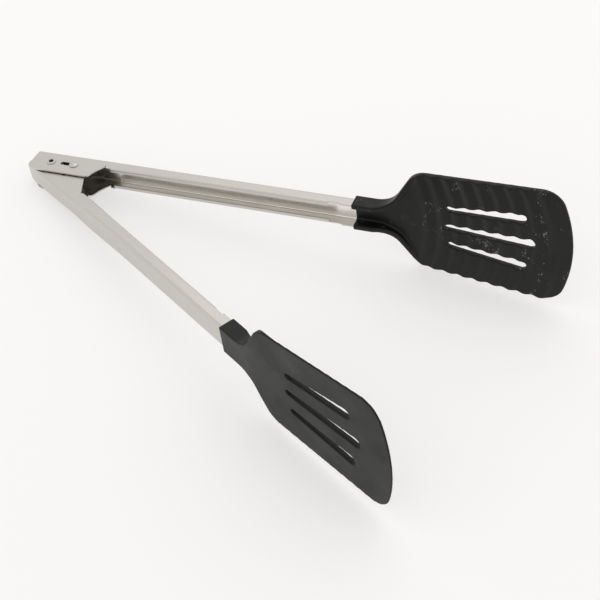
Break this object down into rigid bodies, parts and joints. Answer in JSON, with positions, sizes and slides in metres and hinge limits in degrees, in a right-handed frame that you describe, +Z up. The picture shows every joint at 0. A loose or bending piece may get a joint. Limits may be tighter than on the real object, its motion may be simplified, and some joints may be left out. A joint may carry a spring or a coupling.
{
  "type": "spring loaded kitchen tongs",
  "caption": "Long open tongs: two channel-section steel arms sprung apart on a hollow pivot with a sliding lock pin, ending in one smooth and one ribbed slotted nylon turner head.",
  "frame": {"origin": "centre of the bounding box on the table the open tongs lie on", "axes": "+X from the pivot towards the heads, +Y towards the outer arm, +Z up from the table"},
  "size_m": [0.3308, 0.179, 0.0812],
  "materials": {
    "stainless_sheet": "brushed along the arm",
    "black_nylon": "satin moulded",
    "rivet_steel": "tumbled",
    "spring_wire": "drawn wire"
  },
  "bodies": {
    "outer_arm": {"outer_arm": "stainless_sheet", "outer_head": "black_nylon", "pivot_eyelet": "rivet_steel", "pivot_sleeve": "rivet_steel", "torsion_spring": "spring_wire"},
    "inner_arm": {"inner_arm": "stainless_sheet", "inner_head": "black_nylon"},
    "lock_pin": {"lock_pin": "rivet_steel"}
  },
  "joints": [
    {"name": "arm_pivot", "type": "hinge", "parent": "outer_arm", "child": "inner_arm", "pos_m": [-0.1492, 0, 0.00962], "axis": [-0.1119, 0, 0.9937], "range_deg": [0, 30.7], "stiffness_Nm_per_rad": 0.67, "springref_deg": -20.05, "deforming": ["torsion_spring"]},
    {"name": "lock_slide", "type": "slide", "parent": "outer_arm", "child": "lock_pin", "axis": [-0.958, -0.2656, -0.1079], "range_m": [0, 0.0079]}
  ]
}
